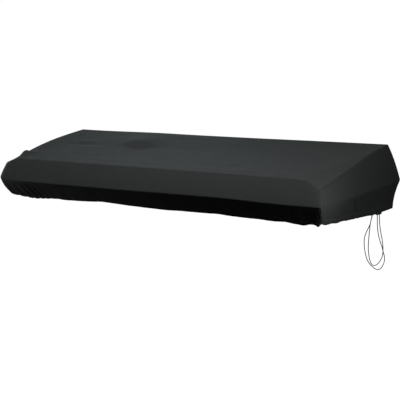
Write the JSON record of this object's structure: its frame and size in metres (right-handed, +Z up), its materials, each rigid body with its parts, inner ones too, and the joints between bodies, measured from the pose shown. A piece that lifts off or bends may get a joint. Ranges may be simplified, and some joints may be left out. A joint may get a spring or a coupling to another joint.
{
  "type": "keyboard dust cover",
  "caption": "Fitted black stretch-knit dust cover for an electronic keyboard: sloping top, crisp front crease, skirt drawn in under the edge, scalloped hem, drawcord loops and lock.",
  "frame": {"origin": "under the middle of the top, where the cloth rests on the keyboard", "axes": "+X along the cover to its right end, where the drawcord hangs, -Y to the front, +Z up"},
  "size_m": [1.049, 0.4255, 0.3228],
  "materials": {
    "knit": "matt black stretch knit",
    "cord": "thin black braided elastic cord",
    "lock": "fine matt black plastic"
  },
  "bodies": {
    "root": {"main_panel": "knit", "end_panel_right": "knit", "end_panel_left": "knit", "cord_loop_outer": "cord", "cord_loop_inner": "cord", "cord_lock": "lock"}
  },
  "joints": []
}
